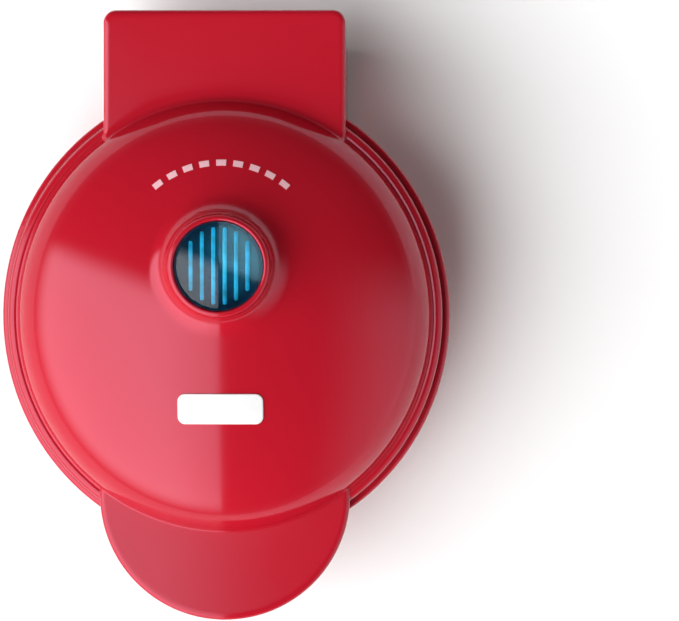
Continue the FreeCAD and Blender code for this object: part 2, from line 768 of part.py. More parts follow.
def make_feet():
    feet = []
    for (x, y), sheet in ((front_foot, cover_thickness), (rear_foot, wall)):
        for side in (-1, 1):
            foot = rod(foot_r, foot_height, (side * x, y, 0))
            foot = rounded(foot, foot_round, lambda e: level(e, 0))
            peg = rod(foot_peg_r, sheet, (side * x, y, foot_height))
            barb = Part.makeCone(foot_peg_r + foot_barb, foot_peg_r - foot_barb_neck, foot_barb_height,
                                 V(side * x, y, foot_height + sheet))
            feet.append(foot.fuse([peg, barb]))
    return feet


# ---------------------------------------------------------------- hinge
def make_pins():
    """Two hollow pins, fixed in the ears; the wires cross the hinge inside them."""
    pins = []
    for side in (-1, 1):
        along = V(side, 0, 0)
        start = (side * pin_inner_x, hinge_y, hinge_z)
        length = pin_outer_x - pin_inner_x
        pin = rod(pin_r, length, start, along)
        pin = pin.fuse(rod(pin_head_r, pin_head, (side * pin_outer_x, hinge_y, hinge_z), along))
        pins.append(pin.cut(rod(pin_bore_r, length + pin_head, start, along)))
    return pins


def make_bushes():
    bushes = []
    bore = pin_r + spin_gap
    for side in (-1, 1):
        along = V(side, 0, 0)
        start = (side * pin_inner_x, hinge_y, hinge_z)
        bush = rod(bore + bush_wall, pin_in, start, along)
        flange = rod(bore + bush_wall + bush_flange, knuckle_gap / 2, (side * knuckle_half, hinge_y, hinge_z), along)
        bushes.append(bush.fuse(flange).cut(rod(bore, pin_in + knuckle_gap, start, along)))
    return bushes


# ---------------------------------------------------------------- electrics
def tube(points, radius, bend):
    """Round wire through the points, with a tangent arc of radius `bend` at each corner."""
    points = [V(*p) for p in points]
    edges = []
    start = points[0]
    for before, corner, after in zip(points, points[1:], points[2:]):
        a = (before - corner).normalize()
        b = (after - corner).normalize()
        half = a.getAngle(b) / 2
        back = bend / math.tan(half)
        middle = a + b
        middle.normalize()
        centre = corner + middle * (bend / math.sin(half))
        edges.append(Part.makeLine(start, corner + a * back))
        edges.append(Part.Arc(corner + a * back, centre - middle * bend, corner + b * back).toShape())
        start = corner + b * back
    edges.append(Part.makeLine(start, points[-1]))
    along = points[1] - points[0]
    section = Part.Wire(Part.makeCircle(radius, points[0], along))
    return Part.Wire(edges).makePipeShell([section], True, False)


def make_upper_wires():
    """From the middle of each pin up the knuckle's duct and forward to the upper element."""
    leg_z = 2 * middle_z - (part_line - element_depth)
    wires = []
    for side in (-1, 1):
        x = side * (pin_inner_x + 2)
        up_x = side * (pin_inner_x - wire_past_pin)
        roof = box_top - wire_cover - wire_r - run_gap
        wires.append(tube([(x, hinge_y, hinge_z), (up_x, hinge_y, hinge_z), (up_x, hinge_y, roof),
                           (up_x, upper_wire_y, roof), (side * element_leg_x, element_leg_y + wire_r, leg_z)],
                          wire_r, wire_bend))
    return wires


def make_lower_wires():
    """From the terminal block up to each pin's outer end and into it."""
    middle_y = sum(terminal_y) / 2
    wires = []
    for side in (-1, 1):
        x = side * (pin_inner_x + 2)
        out_x = side * (pin_outer_x + pin_head + wire_past_pin)
        wires.append(tube([(x, hinge_y, hinge_z), (out_x, hinge_y, hinge_z), (out_x, wire_turn_y, wire_turn_z),
                           (out_x, middle_y, wire_height),
                           (side * (terminal_half + fit_gap), middle_y, wire_height)], wire_r, lower_wire_bend))
    return wires


def make_terminal_block():
    z = floor_z + face_gap
    top = z + terminal_height
    front, back = terminal_y
    body = block((-terminal_half, terminal_half), terminal_y, (z, top))
    wells = [rod(terminal_well_r, terminal_height, (x, (front + back) / 2, z + terminal_height / 2))
             for x in (-terminal_pitch, 0, terminal_pitch)]
    gaps = [block((x - terminal_gap / 2, x + terminal_gap / 2), (front - 1, back + 1),
                  (z + 0.75 * terminal_height, top + 1)) for x in (-terminal_pitch / 2, terminal_pitch / 2)]
    return body.cut(wells + gaps)


def make_thermostat():
    """Disc thermostat under the lower plate's floor, with its two tabs."""
    z = part_line - heart_depth - plate_wall - face_gap
    low = z - thermostat_height
    cap_r, cap_height = thermostat_cap
    body = rod(thermostat_r, thermostat_height, (0, 0, low)).fuse(rod(cap_r, cap_height, (0, 0, low - cap_height)))
    length, width, thickness = thermostat_tab
    tabs = [block((x - length / 2, x + length / 2), (-width / 2, width / 2), (low - 1, low - 1 + thickness))
            for x in (-thermostat_tab_x, thermostat_tab_x)]
    return body.fuse(tabs)


def make_thermal_fuse():
    z = part_line - heart_depth - plate_wall - fuse_drop
    body = rod(fuse_r, fuse_length, (-fuse_length / 2, fuse_y, z), V(1, 0, 0))
    lead = rod(fuse_lead_r, fuse_lead_length, (-fuse_lead_length / 2, fuse_y, z), V(1, 0, 0))
    return body.fuse(lead)


def make_lamp_holder():
    """White cup clipped into the collar, that holds the lamp below the window."""
    r = light_bore_r - fit_gap
    low = dome_z + dome_rise - wall - holder_depth
    top = ledge_z - rib_height - holder_gap
    cup = rod(r, top - low, (0, light_y, low))
    cup = cup.cut(rod(r - holder_wall, top - low, (0, light_y, low + holder_floor)))
    return cup.cut(rod(lamp_r + 2 * face_gap, 2 * holder_floor, (0, light_y, low - holder_floor / 2))), low


def make_lamp(low):
    foot = low + holder_floor / 2
    glass = rod(lamp_r, lamp_length, (0, light_y, foot))
    return rounded(glass, lamp_round, lambda e: level(e, foot + lamp_length))


def make_resistor(low):
    y, z = light_y + resistor_y, low - resistor_drop
    body = rod(resistor_r, resistor_length, (-resistor_length / 2, y, z), V(1, 0, 0))
    return body.fuse(rod(resistor_lead_r, resistor_lead_length, (-resistor_lead_length / 2, y, z), V(1, 0, 0)))


def make_gland(rear_y):
    """Bush in the rear wall that the supply cord comes in through."""
    back = V(0, 1, 0)
    body = rod(gland_r, gland_depth, (0, rear_y - gland_depth, gland_z), back)
    body = body.fuse(rod(gland_flange_r, gland_flange, (0, rear_y, gland_z), back))
    lip_y = rear_y - wall - gland_barb_width - fit_gap
    body = body.fuse(rod(gland_r + gland_barb, gland_barb_width, (0, lip_y, gland_z), back))
    return body.cut(rod(gland_bore_r, gland_depth + gland_flange, (0, rear_y - gland_depth, gland_z), back))


# ---------------------------------------------------------------- build
def main():
    base, rear_y = make_base()
    plate = make_plate()
    pan = make_pan()
    element = make_element()
    clamp = make_element_clamp()
    holder, holder_low = make_lamp_holder()
    liner_screw_z = lid_z + screw_head
    nodes = {
        "base_housing": base,
        "base_liner": make_base_liner(),
        "bottom_cover": make_cover(),
        "feet": make_feet(),
        "cord_gland": make_gland(rear_y),
        "lower_plate": plate,
        "lower_element": element,
        "lower_element_clamp": clamp,
        "lower_heat_pan": pan,
        "lower_plate_screws": plate_screws(),
        "thermostat": make_thermostat(),
        "thermal_fuse": make_thermal_fuse(),
        "terminal_block": make_terminal_block(),
        "lower_wires": make_lower_wires(),
        "base_screws": [screw(x, y, foot_height + screw_head, screw_length) for x, y in base_screw_spots()],
        "hinge_pins": make_pins(),
        "hinge_bushes": make_bushes(),
        "lid_housing": make_lid(),
        "lid_liner": make_lid_liner(),
        "lid_badge": make_badge(),
        "heat_marks": make_marks(),
        "indicator_lens": make_lens(),
        "lamp_holder": holder,
        "indicator_lamp": make_lamp(holder_low),
        "lamp_resistor": make_resistor(holder_low),
        "upper_plate": flipped(plate),
        "upper_element": flipped(element),
        "upper_element_clamp": flipped(clamp),
        "upper_heat_pan": flipped(pan),
        "upper_plate_screws": [flipped(s) for s in plate_screws()],
        "upper_wires": make_upper_wires(),
        "lid_screws": [screw(x, y, liner_screw_z, lid_screw_length) for x, y in lid_screw_spots()],
    }
    os.makedirs("parts", exist_ok=True)
    for name, shape in nodes.items():
        if isinstance(shape, list):
            shape = Part.makeCompound(shape)
        shape.exportStep("parts/" + name + ".step")
        print(name, len(shape.Solids), shape.isValid(), round(shape.Volume, 1), shape.BoundBox)


main()
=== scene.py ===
# Small round waffle maker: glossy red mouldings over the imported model, on a pale floor.
import json
import math

import bpy
import numpy as np
from mathutils import Matrix, Vector


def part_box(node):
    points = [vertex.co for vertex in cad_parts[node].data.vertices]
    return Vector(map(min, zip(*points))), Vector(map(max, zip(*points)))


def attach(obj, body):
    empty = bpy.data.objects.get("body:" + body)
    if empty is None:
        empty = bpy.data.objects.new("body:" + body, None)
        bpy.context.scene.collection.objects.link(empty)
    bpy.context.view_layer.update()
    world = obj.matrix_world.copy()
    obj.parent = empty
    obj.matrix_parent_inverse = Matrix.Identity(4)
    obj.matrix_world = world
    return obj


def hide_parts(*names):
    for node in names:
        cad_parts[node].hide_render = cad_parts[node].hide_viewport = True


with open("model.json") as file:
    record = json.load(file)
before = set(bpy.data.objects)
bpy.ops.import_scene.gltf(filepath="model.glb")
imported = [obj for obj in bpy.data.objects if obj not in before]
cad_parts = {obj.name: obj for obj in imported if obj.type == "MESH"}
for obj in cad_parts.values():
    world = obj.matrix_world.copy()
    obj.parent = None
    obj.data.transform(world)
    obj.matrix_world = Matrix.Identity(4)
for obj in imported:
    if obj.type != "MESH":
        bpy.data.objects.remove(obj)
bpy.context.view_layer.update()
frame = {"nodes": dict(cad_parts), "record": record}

MM = 0.001

# ---------------------------------------------------------------- places, in millimetres


def box_mm(node):
    """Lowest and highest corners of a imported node."""
    low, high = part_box(node)
    return np.array(low) / MM, np.array(high) / MM


base_low, base_high = box_mm("base_housing")
lid_low, lid_high = box_mm("lid_housing")
lens_low, lens_high = box_mm("indicator_lens")
liner_low, _ = box_mm("lid_liner")
badge_low, badge_high = box_mm("lid_badge")

BODY_R = base_high[0]                       # base rim, half its width
OVAL = -base_low[1] / BODY_R                # how much longer the body is than wide
LID_Z = liner_low[2]                        # lid's bottom edge
TOP = lid_high[2]                           # top of the collar round the light
FRONT = lid_low[1]                          # tip of the tongue
REAR = lid_high[1]                          # back of the hinge box
LIGHT_Y = (lens_low[1] + lens_high[1]) / 2
LENS_R = (lens_high[0] - lens_low[0]) / 2
HINGE = Vector(frame["record"]["behaviour"]["joints"][0]["pos_m"]) / MM

WALL = 2.2
LID_R = BODY_R - 2.0                        # the base's rim shows outside the lid
SHOULDER_Z = LID_Z + 5.7                    # top of the lid's rounded shoulder
SHOULDER_R = 1.7
SHOULDER_TURN = math.radians(135)           # how far the shoulder turns, from its outside
VALLEY_R = 0.7                              # fillet between the shoulder and the dome
DOME_RISE = 23.4
TONGUE_R = 33.4
TONGUE_Y = FRONT + TONGUE_R                 # middle of the tongue's round nose
TONGUE_TOP = LID_Z + 6.5
TONGUE_EDGE = 1.4                           # rounding of its top edge
TONGUE_CREASE = 0.6                         # fillet between its top and the dome
TONGUE_FROM = -30.0                         # it lies in front of this
BOX_HALF = 32.2                             # hinge box, half its width
BOX_TOP = LID_Z + 7.4
BOX_EDGE = 1.3
BOX_CORNER = 3.4
BOX_CREASE = 2.6
BOX_FROM = 30.0                             # it lies behind this
COLLAR_R = 13.3                             # at the collar's top
COLLAR_TAPER = 0.9                          # how much wider it is inside the dome
COLLAR_FLARE = 5.4                          # fillet between the collar and the dome
COLLAR_EDGE = 1.0
COLLAR_SINK = 0.4                           # the flare ends this far under the dome's highest point
SEAT_Z = TOP - 4.8                          # ledge that the lens sits on
KNUCKLE_HALF = 14.0
KNUCKLE_R = 5.9

SHOULDER_C = SHOULDER_Z - SHOULDER_R
DOME_R = LID_R - SHOULDER_R + SHOULDER_R * math.cos(SHOULDER_TURN)
DOME_Z = SHOULDER_C + SHOULDER_R * math.sin(SHOULDER_TURN)

HALVINGS = 60                               # steps of each search by halving
MIDDLE_R = 0.02                             # smallest ring of a turned surface


# ---------------------------------------------------------------- mesh helpers
def mesh_piece(name, verts, faces, body, material):
    """A smooth-shaded piece from points in millimetres, riding on a body."""
    mesh = bpy.data.meshes.new(name)
    mesh.from_pydata([tuple(v) for v in np.asarray(verts, float) * MM], [], [tuple(f) for f in faces])
    mesh.validate()
    mesh.update()
    mesh.polygons.foreach_set("use_smooth", [True] * len(mesh.polygons))
    piece = bpy.data.objects.new(name, mesh)
    bpy.context.scene.collection.objects.link(piece)
    mesh.materials.append(material)
    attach(piece, body)
    return piece


def ring_faces(rings, count, start=0):
    """Quads between closed rings of `count` points each, stored one after another."""
    faces = []
    for k in range(rings - 1):
        a = start + k * count
        b = a + count
        for i in range(count):
            j = (i + 1) % count
            faces.append((a + i, a + j, b + j, b + i))
    return faces


def level_ring(x, y, z):
    """Ring of points at one height."""
    return np.stack([x, y, np.full(len(x), z)], axis=1)


def lathe(name, profile, material, closed=False):
    """Surface turned about the light's axis, on the lid; the profile is (radius, height) pairs."""
    count = 128
    turns = np.linspace(0, 2 * math.pi, count, endpoint=False)
    rings = [level_ring(r * np.cos(turns), LIGHT_Y + r * np.sin(turns), z) for r, z in profile]
    faces = ring_faces(len(profile), count)
    if closed:
        faces.append(tuple(range(count - 1, -1, -1)))
        faces.append(tuple(range((len(profile) - 1) * count, len(profile) * count)))
    return mesh_piece(name, np.concatenate(rings), faces, "lid", material)


def arc_points(cx, cz, r, start, end, steps):
    """Points (x, z) on an arc, angles in degrees."""
    turns = np.radians(np.linspace(start, end, steps + 1))
    return [(cx + r * math.cos(a), cz + r * math.sin(a)) for a in turns]


# ---------------------------------------------------------------- material helpers
def new_material(name):
    """Material with one Principled shader, its node tree and that shader."""
    material = bpy.data.materials.new(name)
    material.use_nodes = True
    tree = material.node_tree
    tree.nodes.clear()
    out = tree.nodes.new("ShaderNodeOutputMaterial")
    shader = tree.nodes.new("ShaderNodeBsdfPrincipled")
    tree.links.new(shader.outputs[0], out.inputs["Surface"])
    return material, tree, shader


def noise(tree, scale, detail=3.0, rough=0.5):
    """Noise fixed to the piece; the scale is per metre."""
    place = tree.nodes.new("ShaderNodeTexCoord")
    node = tree.nodes.new("ShaderNodeTexNoise")
    node.inputs["Scale"].default_value = scale
    node.inputs["Detail"].default_value = detail
    node.inputs["Roughness"].default_value = rough
    tree.links.new(place.outputs["Object"], node.inputs["Vector"])
    return node.outputs["Fac"]


def ramp(tree, source, low, high, at=(0.3, 0.7)):
    """Colour or value that runs from `low` to `high` as the source goes across `at`."""
    node = tree.nodes.new("ShaderNodeValToRGB")
    for stop, place, value in zip(node.color_ramp.elements, at, (low, high)):
        stop.position = place
        stop.color = (value, value, value, 1) if isinstance(value, float) else (*value, 1)
    tree.links.new(source, node.inputs["Fac"])
    return node.outputs["Color"]


def bump(tree, shader, source, strength, distance):
    """Relief too fine to model, `distance` deep in metres."""
    node = tree.nodes.new("ShaderNodeBump")
    node.inputs["Strength"].default_value = strength
    node.inputs["Distance"].default_value = distance
    tree.links.new(source, node.inputs["Height"])
    tree.links.new(node.outputs["Normal"], shader.inputs["Normal"])


def plastic(name, color, roughness, grain=None, specular=0.5, tint=(1, 1, 1)):
    """Moulded plastic: slight colour and gloss variation, and a (scale, depth) grain if it has one."""
    material, tree, shader = new_material(name)
    patches = noise(tree, 18.0)
    dark = tuple(c * 0.94 for c in color)
    tree.links.new(ramp(tree, patches, dark, color), shader.inputs["Base Color"])
    smears = noise(tree, 60.0, 5.0, 0.6)
    tree.links.new(ramp(tree, smears, roughness * 0.85, roughness * 1.15), shader.inputs["Roughness"])
    shader.inputs["Specular IOR Level"].default_value = specular
    shader.inputs["Specular Tint"].default_value = (*tint, 1)
    if grain:
        scale, depth = grain
        bump(tree, shader, noise(tree, scale, 2.0), 0.5, depth)
    return material


def metal(name, color, roughness):
    """Plain metal with fine uneven polish."""
    material, tree, shader = new_material(name)
    patches = noise(tree, 120.0, 4.0)
    dark = tuple(c * 0.88 for c in color)
    tree.links.new(ramp(tree, patches, dark, color), shader.inputs["Base Color"])
    shader.inputs["Metallic"].default_value = 1.0
    fine = noise(tree, 900.0)
    tree.links.new(ramp(tree, fine, roughness * 0.8, roughness * 1.25), shader.inputs["Roughness"])
    bump(tree, shader, fine, 0.12, 0.00005)
    return material


RED = plastic("red_gloss", (0.44, 0.008, 0.02), 0.1, tint=(1.0, 0.65, 0.85))
BLACK = plastic("black_trim", (0.02, 0.02, 0.022), 0.42, grain=(2600.0, 0.00004))
COATING = plastic("nonstick", (0.035, 0.035, 0.037), 0.36, grain=(1500.0, 0.00006), specular=0.6)
RUBBER = plastic("foot_rubber", (0.03, 0.03, 0.03), 0.75, grain=(1800.0, 0.00008))
WHITE = plastic("white_plastic", (0.82, 0.86, 0.86), 0.4)
CERAMIC = plastic("white_ceramic", (0.82, 0.8, 0.74), 0.6, grain=(1400.0, 0.00006))
SLEEVE = plastic("wire_sleeve", (0.74, 0.72, 0.65), 0.55)
STEEL = metal("sheet_steel", (0.6, 0.6, 0.6), 0.32)
SCREW = metal("screw_steel", (0.62, 0.61, 0.59), 0.28)
SHEATH = metal("element_sheath", (0.34, 0.31, 0.28), 0.42)
ALUMINIUM = metal("sheet_aluminium", (0.8, 0.8, 0.81), 0.3)
BRASS = metal("bush_brass", (0.76, 0.56, 0.24), 0.26)
PRINT = plastic("pale_print", (0.86, 0.5, 0.55), 0.3)

NODE_MATERIALS = {
    "base_housing": RED, "base_liner": BLACK, "lid_liner": BLACK, "bottom_cover": BLACK,
    "feet": RUBBER, "cord_gland": BLACK, "lower_plate": COATING, "upper_plate": COATING,
    "lower_element": SHEATH, "upper_element": SHEATH, "lower_element_clamp": STEEL,
    "upper_element_clamp": STEEL, "lower_heat_pan": ALUMINIUM, "upper_heat_pan": ALUMINIUM,
    "lower_plate_screws": SCREW, "upper_plate_screws": SCREW, "base_screws": SCREW,
    "lid_screws": SCREW, "thermostat": STEEL, "thermal_fuse": STEEL, "terminal_block": CERAMIC,
    "lower_wires": SLEEVE, "upper_wires": SLEEVE, "hinge_pins": SCREW, "hinge_bushes": BRASS,
    "lamp_holder": WHITE, "lamp_resistor": CERAMIC, "heat_marks": PRINT,
}


def dress_nodes():
    """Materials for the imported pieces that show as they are."""
    for name, material in NODE_MATERIALS.items():
        piece = frame["nodes"][name]
        if not piece.material_slots:
            piece.data.materials.append(material)
        for place in piece.material_slots:
            place.material = material


# ---------------------------------------------------------------- lid's shape
def dome_at(turn):
    """Point of the dome's section at an angle of its ellipse, and the outward direction there."""
    foot = Vector((DOME_R * math.cos(turn), DOME_Z + DOME_RISE * math.sin(turn)))
    return foot, Vector((math.cos(turn) / DOME_R, math.sin(turn) / DOME_RISE)).normalized()


def dome_fillet(radius, inside):
    """Foot and centre of a fillet on the dome, as high up as `inside` holds for its centre."""
    low, high = 0.0, math.pi / 2
    for _ in range(HALVINGS):
        turn = (low + high) / 2
        foot, out = dome_at(turn)
        centre = foot + radius * out
        low, high = (turn, high) if inside(centre) else (low, turn)
    return foot, centre


def degrees_from(centre, point):
    """Direction of a point seen from a centre, 0 to 360."""
    return math.degrees(math.atan2(point.y - centre.y, point.x - centre.x)) % 360


def flat_profile(top, radius):
    """Section of the dome's fillet and the flat beyond it, as (distance from the middle, height)."""
    foot, centre = dome_fillet(radius, lambda c: c.y < top + radius)
    beyond = centre.x + 60
    return arc_points(centre.x, centre.y, radius, degrees_from(centre, foot), 270, 24) + [(beyond, top)]


def round_profile():
    """Section of the valley and shoulder outside the dome, as (distance from the middle, height)."""
    shoulder = Vector((LID_R - SHOULDER_R, SHOULDER_C))
    foot, centre = dome_fillet(VALLEY_R, lambda c: (c - shoulder).length < SHOULDER_R + VALLEY_R)
    end = degrees_from(centre, shoulder)
    valley = arc_points(centre.x, centre.y, VALLEY_R, degrees_from(centre, foot), end, 16)
    return valley + arc_points(shoulder.x, shoulder.y, SHOULDER_R, end - 180, 0, 24)


PROFILES = {"round": round_profile(), "tongue": flat_profile(TONGUE_TOP, TONGUE_CREASE),
            "box": flat_profile(BOX_TOP, BOX_CREASE)}


def profile_height(kind, r):
    """Height at distance r from the middle, with the dome inside the profile's first point."""
    points = np.array(PROFILES[kind])
    inside = np.clip(r / DOME_R, 0, 1)
    dome = DOME_Z + DOME_RISE * np.sqrt(1 - inside ** 2)
    return np.where(r <= points[0, 0], dome, np.interp(r, points[:, 0], points[:, 1]))


def tongue_depth(x, y, inset=0.0):
    """How far inside the tongue's outline a point is."""
    r = TONGUE_R - inset
    nose = r - np.hypot(x, np.minimum(y - TONGUE_Y, 0))
    return np.where(y < TONGUE_FROM, nose, -1.0)


def box_depth(x, y, inset=0.0):
    """How far inside the hinge box's outline a point is."""
    corner = BOX_CORNER - inset / 2
    dx = np.abs(x) - (BOX_HALF - inset - corner)
    dy = y - (REAR - inset - corner)
    outside = np.hypot(np.maximum(dx, 0), np.maximum(dy, 0))
    return np.where(y > BOX_FROM, corner - outside - np.minimum(np.maximum(dx, dy), 0), -1.0)


def edge_drop(depth, radius):
    """How far a rounded top edge falls at a given distance in from it."""
    inner = np.clip(radius - depth, 0, radius)
    return radius - np.sqrt(radius ** 2 - inner ** 2)


def lid_height(x, y):
    """Top surface of the lid, without its collar."""
    r = np.hypot(x, y / OVAL)
    height = np.where(r <= LID_R, profile_height("round", np.minimum(r, LID_R)), 0.0)
    for kind, depth, edge in (("tongue", tongue_depth(x, y), TONGUE_EDGE),
                              ("box", box_depth(x, y), BOX_EDGE)):
        slab = profile_height(kind, r) - edge_drop(depth, edge)
        height = np.where(depth > -1e-6, np.maximum(height, slab), height)
    return height


def lid_inside(x, y, inset=0.0):
    """Whether a point is inside the lid's outline."""
    ring = LID_R - inset - np.hypot(x, y / OVAL)
    return np.maximum(np.maximum(ring, tongue_depth(x, y, inset)), box_depth(x, y, inset)) > 0


def along_ray(turns, r):
    """Points at distance r from the light's middle, stretched as the body is."""
    return r * np.cos(turns), LIGHT_Y + OVAL * r * np.sin(turns)


def circle_reach(turns, r):
    """Distance along each ray to a true circle round the light."""
    return r / np.hypot(np.cos(turns), OVAL * np.sin(turns))


def oval_reach(turns, r):
    """Distance along each ray to the body's own oval, of half width r."""
    b = LIGHT_Y / OVAL
    return -b * np.sin(turns) + np.sqrt(r ** 2 - (b * np.cos(turns)) ** 2)


def outline_reach(turns, inset=0.0):
    """Distance along each ray to the lid's outline."""
    low = np.full(len(turns), 25.0)
    high = np.full(len(turns), 130.0)
    for _ in range(HALVINGS):
        middle = (low + high) / 2
        inside = lid_inside(*along_ray(turns, middle), inset)
        low = np.where(inside, middle, low)
        high = np.where(inside, high, middle)
    return low


def lid_turns():
    """Directions of the lid's mesh lines: even, and closer where the outline turns."""
    even, close, spread = 900, 25, 1.5
    turns = list(np.linspace(0, 2 * math.pi, even, endpoint=False))
    rim_y = OVAL * math.sqrt(LID_R ** 2 - BOX_HALF ** 2)
    spots = [(BOX_HALF, rim_y), (BOX_HALF, REAR - BOX_CORNER), (BOX_HALF - BOX_CORNER, REAR),
             (BOX_HALF - BOX_CORNER * 0.3, REAR - BOX_CORNER * 0.3), (TONGUE_R - 0.02, TONGUE_Y - 1.6)]
    for x, y in spots:
        for side in (-1, 1):
            at = math.atan2((y - LIGHT_Y) / OVAL, side * x)
            turns += [(at + math.radians(d)) % (2 * math.pi) for d in np.linspace(-spread, spread, close)]
    turns = sorted(turns)
    return np.array([t for t, after in zip(turns, turns[1:] + [math.inf]) if after - t > 1e-4])


def collar_profile():
    """(radius, share of the collar's height) pairs from its flat top down its flare to the dome."""
    base = DOME_Z + DOME_RISE - COLLAR_SINK
    height = TOP - base
    lean = COLLAR_TAPER / (TOP - DOME_Z - DOME_RISE / 2)
    tilt = math.degrees(math.atan(lean))
    wall_high, wall_low = TOP - COLLAR_EDGE, base + COLLAR_FLARE
    foot_r = COLLAR_R + lean * (wall_high - wall_low) + COLLAR_FLARE
    points = arc_points(COLLAR_R - COLLAR_EDGE, wall_high, COLLAR_EDGE, 90, tilt, 10)
    wall = np.linspace(wall_high - 0.1, wall_low + 0.1, 6)
    points += [(COLLAR_R + lean * (wall_high - z), z) for z in wall]
    points += arc_points(foot_r, wall_low, COLLAR_FLARE, 180 + tilt, 270, 32)
    return [(r, min(1.0, max(0.0, (z - base) / height))) for r, z in points]


def bore_rings(turns):
    """The light's bore, from inside the lid up past the lens's seat to the collar's flat top."""
    hole, bore = LENS_R - 1.2, LENS_R + 0.2
    profile = ((hole, SEAT_Z - 9), (hole, SEAT_Z - 0.1), (hole + 0.1, SEAT_Z), (bore, SEAT_Z),
               (bore, TOP - 0.35), (bore + 0.1, TOP - 0.1), (bore + 0.35, TOP))
    return [level_ring(*along_ray(turns, circle_reach(turns, r)), z) for r, z in profile]


def collar_rings(turns):
    """The collar: a circle at its top, and the body's oval where its flare meets the dome."""
    rings = []
    for r, share in collar_profile():
        circle = circle_reach(turns, r)
        blend = min(1.0, max(0.0, (r - COLLAR_R - 1) / COLLAR_FLARE))
        x, y = along_ray(turns, circle + (r - circle) * blend)
        z = lid_height(x, y)
        rings.append(np.stack([x, y, z + (TOP - z) * share], axis=1))
    return rings


def top_rings(turns, outline):
    """From the collar over the dome and the valley to the outline, closer towards the edges."""
    collar = collar_profile()[-1][0]
    valley = oval_reach(turns, DOME_R - 1.2)
    shoulder = oval_reach(turns, LID_R - SHOULDER_R)
    spans = [collar + (valley - collar) * share for share in np.linspace(0, 1, 50)[1:]]
    rim = np.minimum(shoulder, outline)
    spans += [valley + (rim - valley) * share for share in np.linspace(0, 1, 23)[1:]]
    for step in np.linspace(0, 1, 19)[1:]:
        r = shoulder + (outline - shoulder) * math.sin(math.pi / 2 * step)
        spans.append(np.minimum(r, outline - 1e-4 * (step == 1)))
    rings = []
    for span in spans:
        x, y = along_ray(turns, span)
        rings.append(np.stack([x, y, lid_height(x, y)], axis=1))
    return rings


def edge_rings(turns, outline, top_z):
    """Down the lid's edge, round under it and up the inside of its wall."""
    low = LID_Z + 0.4
    x, y = along_ray(turns, outline)
    rings = [np.stack([x, y, top_z + (low - top_z) * share], axis=1) for share in (0.15, 0.5, 0.85)]
    rings.append(level_ring(x, y, low))
    inner = outline_reach(turns, WALL)
    for reach, z in ((outline - 0.12, LID_Z + 0.1), (outline - 0.4, LID_Z), (inner, LID_Z),
                     (inner, LID_Z + 4.5)):
        rings.append(level_ring(*along_ray(turns, reach), z))
    return rings


def build_lid():
    """The lid's red shell: one mesh of rings round the light."""
    turns = lid_turns()
    outline = outline_reach(turns)
    rings = bore_rings(turns) + collar_rings(turns) + top_rings(turns, outline)
    rings += edge_rings(turns, outline, rings[-1][:, 2])
    lid = mesh_piece("lid_shell", np.concatenate(rings), ring_faces(len(rings), len(turns)), "lid", RED)
    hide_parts("lid_housing")


def build_knuckle():
    """The lid's part of the hinge, down round the pins."""
    top = LID_Z + 0.2 - HINGE.z
    round_under = np.linspace(math.pi, 2 * math.pi, 25)[1:]
    outline = [(-KNUCKLE_R, top), (-KNUCKLE_R, 0)]
    outline += [(KNUCKLE_R * math.cos(a), KNUCKLE_R * math.sin(a)) for a in round_under]
    outline += [(KNUCKLE_R, top)]
    ease = 0.4
    stations = ((-KNUCKLE_HALF, ease), (-KNUCKLE_HALF + 0.1, 0.12), (-KNUCKLE_HALF + ease, 0),
                (KNUCKLE_HALF - ease, 0), (KNUCKLE_HALF - 0.1, 0.12), (KNUCKLE_HALF, ease))
    verts = []
    for x, shrink in stations:
        size = 1 - shrink / KNUCKLE_R
        verts += [(x, HINGE.y + y * size, HINGE.z + (z * size if z < 0 else z)) for y, z in outline]
    count = len(outline)
    faces = ring_faces(len(stations), count)
    faces += [tuple(range(count)), tuple(range(len(verts) - 1, len(verts) - count - 1, -1))]
    knuckle = mesh_piece("lid_knuckle", verts, faces, "lid", RED)
    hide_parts("lid_housing")


# ---------------------------------------------------------------- light
def glow_material(name, color, strength, back):
    """Blue plastic that glows in `color` at the light's middle and in `back` at its edge."""
    material, tree, shader = new_material(name)
    place = tree.nodes.new("ShaderNodeTexCoord")
    away = tree.nodes.new("ShaderNodeVectorMath")
    away.operation = "DISTANCE"
    away.inputs[1].default_value = (0.0, LIGHT_Y * MM, SEAT_Z * MM)
    tree.links.new(place.outputs["Object"], away.inputs[0])
    reach = tree.nodes.new("ShaderNodeMapRange")
    reach.inputs["From Min"].default_value = 0.0
    reach.inputs["From Max"].default_value = LENS_R * MM
    tree.links.new(away.outputs["Value"], reach.inputs["Value"])
    glow = ramp(tree, reach.outputs[0], color, back, at=(0.15, 0.95))
    tree.links.new(glow, shader.inputs["Emission Color"])
    streaks = ramp(tree, noise(tree, 260.0, 4.0, 0.6), strength * 0.35, strength * 1.3)
    tree.links.new(streaks, shader.inputs["Emission Strength"])
    dark = tuple(c * 0.5 for c in back)
    tree.links.new(ramp(tree, noise(tree, 500.0), dark, back), shader.inputs["Base Color"])
    shader.inputs["Roughness"].default_value = 0.35
    return material


